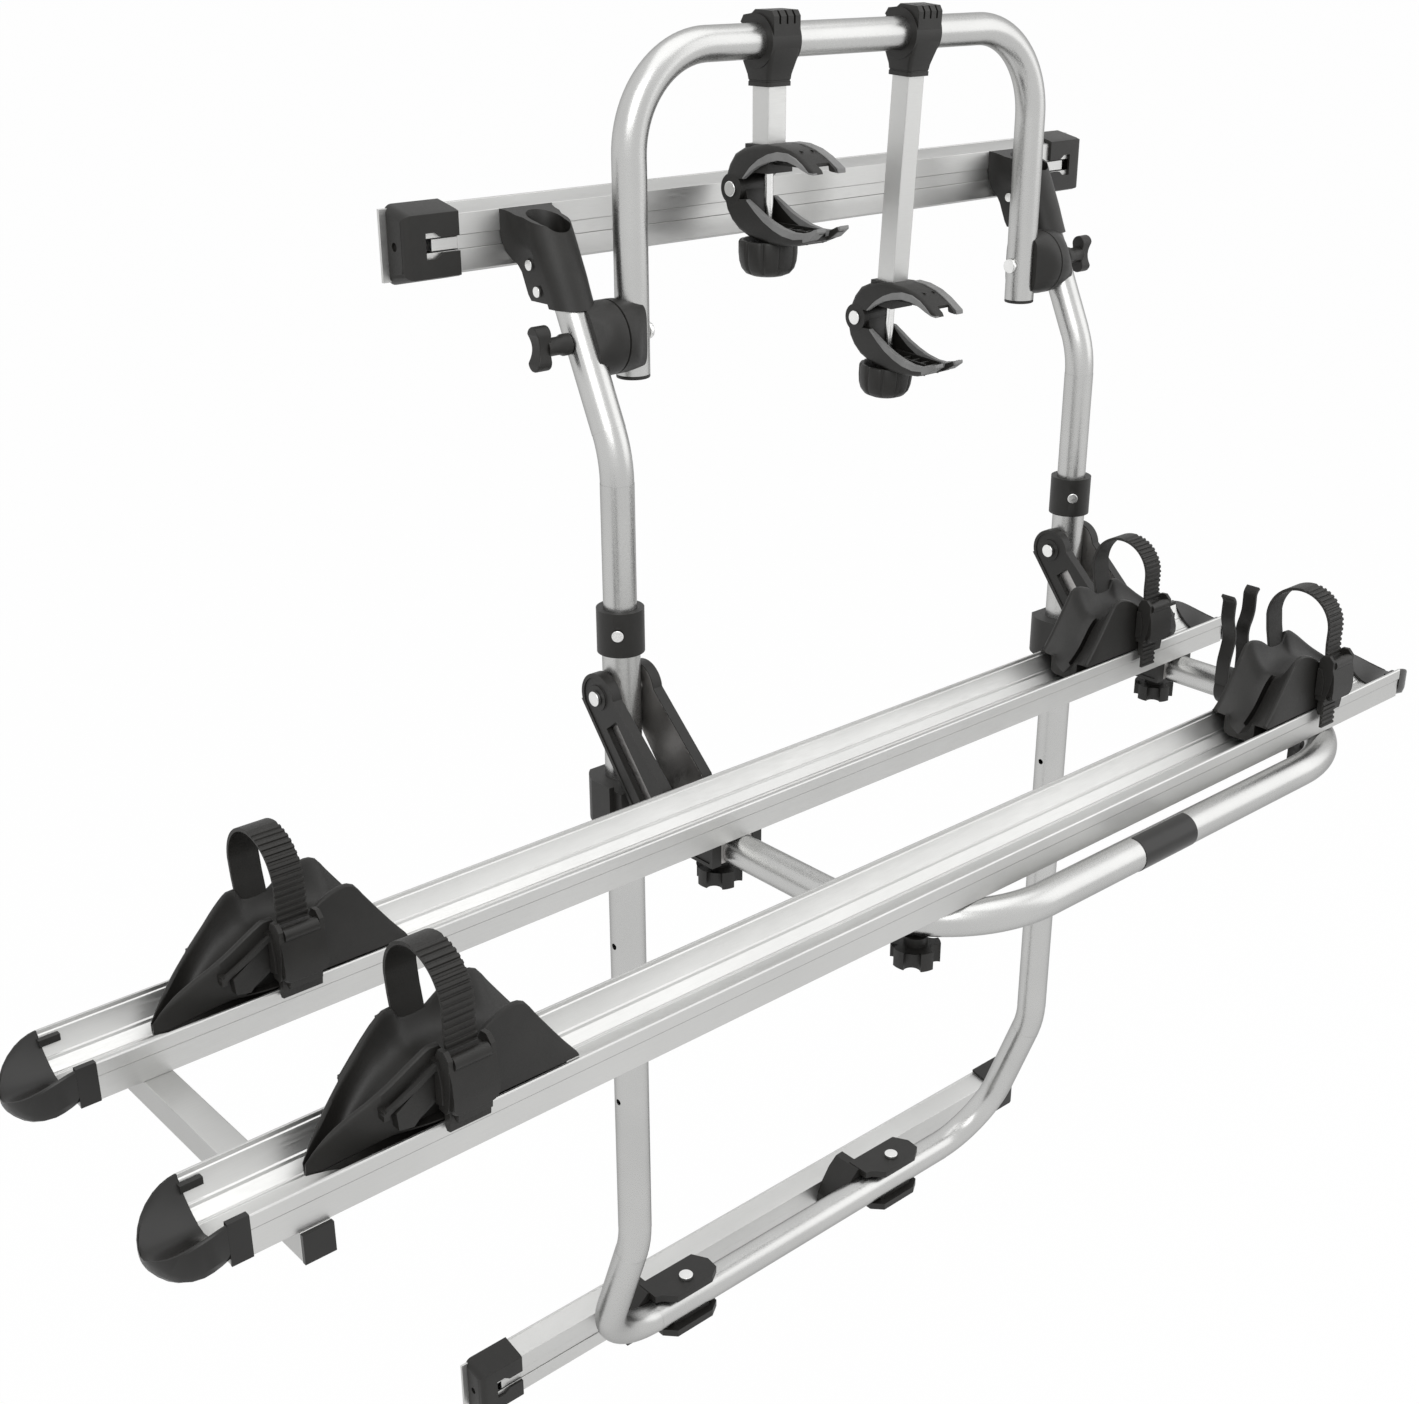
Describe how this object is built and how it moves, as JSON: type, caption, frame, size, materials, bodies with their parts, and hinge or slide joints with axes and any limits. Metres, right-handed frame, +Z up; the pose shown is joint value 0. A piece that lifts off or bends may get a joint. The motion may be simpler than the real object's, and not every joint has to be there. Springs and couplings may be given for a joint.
{
  "type": "motorhome bike rack",
  "caption": "Rear-wall bike rack for a motorhome: folding platform with wheel rails, tube frame on wall rails, tilting loop with clamp arms",
  "frame": {"origin": "middle of the back face of the lower wall rail", "axes": "+Y into the vehicle's wall, square to the back of the rails; +Z up; +X to the right as seen from behind the vehicle"},
  "size_m": [1.294, 0.509, 1.3271],
  "materials": {
    "anodised_aluminium": "satin anodised",
    "black_plastic": "fine grain",
    "grey_rubber": "matt",
    "steel_fastener": "zinc plated",
    "steel_plate": "brushed"
  },
  "bodies": {
    "wall_side": {"lower_wall_rail": "anodised_aluminium", "lower_rail_caps": "black_plastic", "clamp_top_jaws": "black_plastic", "clamp_bottom_jaws": "black_plastic", "lower_frame": "anodised_aluminium", "tube_collars": "black_plastic", "stop_collars": "black_plastic", "frame_bolts": "steel_fastener"},
    "upper_section": {"upper_wall_rail": "anodised_aluminium", "upper_rail_caps": "black_plastic", "upper_tubes": "anodised_aluminium", "upper_brackets": "black_plastic", "bracket_screws": "steel_fastener", "swivel_outer_halves": "black_plastic"},
    "left_swivel_knob": {"swivel_knob_left": "black_plastic"},
    "right_swivel_knob": {"swivel_knob_right": "black_plastic"},
    "arm_loop": {"arm_loop_tube": "anodised_aluminium", "loop_end_caps": "black_plastic", "swivel_inner_halves": "black_plastic", "swivel_bolts": "steel_fastener"},
    "short_arm": {"short_bar_clamp": "black_plastic", "short_arm_tube": "anodised_aluminium", "short_jaw_top": "black_plastic", "short_top_pad": "grey_rubber", "short_jaw_pins": "steel_fastener"},
    "short_lower_jaw": {"short_jaw_bottom": "black_plastic", "short_bottom_pad": "grey_rubber"},
    "short_clamp_knob": {"short_jaw_knob": "black_plastic"},
    "long_arm": {"long_bar_clamp": "black_plastic", "long_arm_tube": "anodised_aluminium", "long_jaw_top": "black_plastic", "long_top_pad": "grey_rubber", "long_jaw_pins": "steel_fastener"},
    "long_lower_jaw": {"long_jaw_bottom": "black_plastic", "long_bottom_pad": "grey_rubber"},
    "long_clamp_knob": {"long_jaw_knob": "black_plastic"},
    "platform": {"platform_tube": "anodised_aluminium", "brace_plates": "steel_plate", "brace_covers": "black_plastic", "front_wheel_rail": "anodised_aluminium", "rear_wheel_rail": "anodised_aluminium", "platform_end_caps": "black_plastic", "cross_bar": "anodised_aluminium", "storage_clip": "black_plastic"},
    "knob_front_left": {"wing_knob_front_left": "black_plastic"},
    "holder_front_left": {"wheel_cup_front_left": "black_plastic", "cup_strap_front_left": "black_plastic"},
    "lever_front_left": {"buckle_lever_front_left": "black_plastic"},
    "knob_rear_left": {"wing_knob_rear_left": "black_plastic"},
    "holder_rear_left": {"wheel_cup_rear_left": "black_plastic", "cup_strap_rear_left": "black_plastic"},
    "lever_rear_left": {"buckle_lever_rear_left": "black_plastic"},
    "knob_front_right": {"wing_knob_front_right": "black_plastic"},
    "holder_front_right": {"wheel_cup_front_right": "black_plastic", "cup_strap_front_right": "black_plastic"},
    "lever_front_right": {"buckle_lever_front_right": "black_plastic"},
    "knob_rear_right": {"wing_knob_rear_right": "black_plastic"},
    "holder_rear_right": {"wheel_cup_rear_right": "black_plastic", "cup_strap_rear_right": "black_plastic"},
    "lever_rear_right": {"buckle_lever_rear_right": "black_plastic"}
  },
  "joints": [
    {"name": "height_adjust", "type": "slide", "parent": "wall_side", "child": "upper_section", "axis": [0, 0, 1], "range_m": [-0.1, 0.1]},
    {"name": "left_swivel_knob_turn", "type": "hinge", "parent": "upper_section", "child": "left_swivel_knob", "pos_m": [-0.32, -0.09398, 1.056], "axis": [1, 0, 0], "continuous": true},
    {"name": "right_swivel_knob_turn", "type": "hinge", "parent": "upper_section", "child": "right_swivel_knob", "pos_m": [0.32, -0.09398, 1.056], "axis": [1, 0, 0], "continuous": true},
    {"name": "loop_tilt", "type": "hinge", "parent": "upper_section", "child": "arm_loop", "pos_m": [0, -0.09398, 1.056], "axis": [1, 0, 0], "range_deg": [0, 35]},
    {"name": "short_arm_swing", "type": "hinge", "parent": "arm_loop", "child": "short_arm", "pos_m": [-0.093, -0.09398, 1.273], "axis": [1, 0, 0], "range_deg": [-75, 12]},
    {"name": "short_jaw_close", "type": "hinge", "parent": "short_arm", "child": "short_lower_jaw", "pos_m": [-0.093, -0.06698, 1.155], "axis": [-1, 0, 0], "range_deg": [0, 12]},
    {"name": "short_knob_turn", "type": "hinge", "parent": "short_lower_jaw", "child": "short_clamp_knob", "pos_m": [-0.093, -0.09398, 1.1], "axis": [0, 0, 1], "range_deg": [0, 1440]},
    {"name": "long_arm_swing", "type": "hinge", "parent": "arm_loop", "child": "long_arm", "pos_m": [0.075, -0.09398, 1.273], "axis": [1, 0, 0], "range_deg": [-75, 8]},
    {"name": "long_jaw_close", "type": "hinge", "parent": "long_arm", "child": "long_lower_jaw", "pos_m": [0.075, -0.05252, 1.02297], "axis": [-1, 0, 0], "range_deg": [0, 12]},
    {"name": "long_knob_turn", "type": "hinge", "parent": "long_lower_jaw", "child": "long_clamp_knob", "pos_m": [0.075, -0.0763, 0.96651], "axis": [0, -0.0576, 0.9983], "range_deg": [0, 1440]},
    {"name": "platform_fold", "type": "hinge", "parent": "wall_side", "child": "platform", "pos_m": [0, -0.134, 0.77], "axis": [-1, 0, 0], "range_deg": [0, 90], "deforming": ["cup_strap_front_right"]},
    {"name": "knob_front_left_turn", "type": "hinge", "parent": "platform", "child": "knob_front_left", "pos_m": [-0.26727, -0.44925, 0.655], "axis": [0, 0, 1], "continuous": true},
    {"name": "holder_front_left_slide", "type": "slide", "parent": "platform", "child": "holder_front_left", "axis": [-1, 0, 0], "range_m": [-0.25, 0.04]},
    {"name": "lever_front_left_lift", "type": "hinge", "parent": "holder_front_left", "child": "lever_front_left", "pos_m": [-0.69, -0.49015, 0.761], "axis": [-1, 0, 0], "range_deg": [0, 100]},
    {"name": "knob_rear_left_turn", "type": "hinge", "parent": "platform", "child": "knob_rear_left", "pos_m": [-0.293, -0.25625, 0.655], "axis": [0, 0, 1], "continuous": true},
    {"name": "holder_rear_left_slide", "type": "slide", "parent": "platform", "child": "holder_rear_left", "axis": [-1, 0, 0], "range_m": [-0.25, 0.04]},
    {"name": "lever_rear_left_lift", "type": "hinge", "parent": "holder_rear_left", "child": "lever_rear_left", "pos_m": [-0.69, -0.29715, 0.761], "axis": [-1, 0, 0], "range_deg": [0, 100]},
    {"name": "knob_front_right_turn", "type": "hinge", "parent": "platform", "child": "knob_front_right", "pos_m": [0.26727, -0.44925, 0.655], "axis": [0, 0, 1], "continuous": true},
    {"name": "holder_front_right_slide", "type": "slide", "parent": "platform", "child": "holder_front_right", "axis": [1, 0, 0], "range_m": [-0.25, 0.02]},
    {"name": "lever_front_right_lift", "type": "hinge", "parent": "holder_front_right", "child": "lever_front_right", "pos_m": [0.229, -0.49015, 0.761], "axis": [-1, 0, 0], "range_deg": [0, 100]},
    {"name": "knob_rear_right_turn", "type": "hinge", "parent": "platform", "child": "knob_rear_right", "pos_m": [0.293, -0.25625, 0.655], "axis": [0, 0, 1], "continuous": true},
    {"name": "holder_rear_right_slide", "type": "slide", "parent": "platform", "child": "holder_rear_right", "axis": [1, 0, 0], "range_m": [-0.25, 0.02]},
    {"name": "lever_rear_right_lift", "type": "hinge", "parent": "holder_rear_right", "child": "lever_rear_right", "pos_m": [0.229, -0.29715, 0.761], "axis": [-1, 0, 0], "range_deg": [0, 100]}
  ],
  "couplings": [
    {"joint": "short_jaw_close", "follows": "short_knob_turn", "ratio": 0.0083333},
    {"joint": "long_jaw_close", "follows": "long_knob_turn", "ratio": 0.0083333}
  ]
}
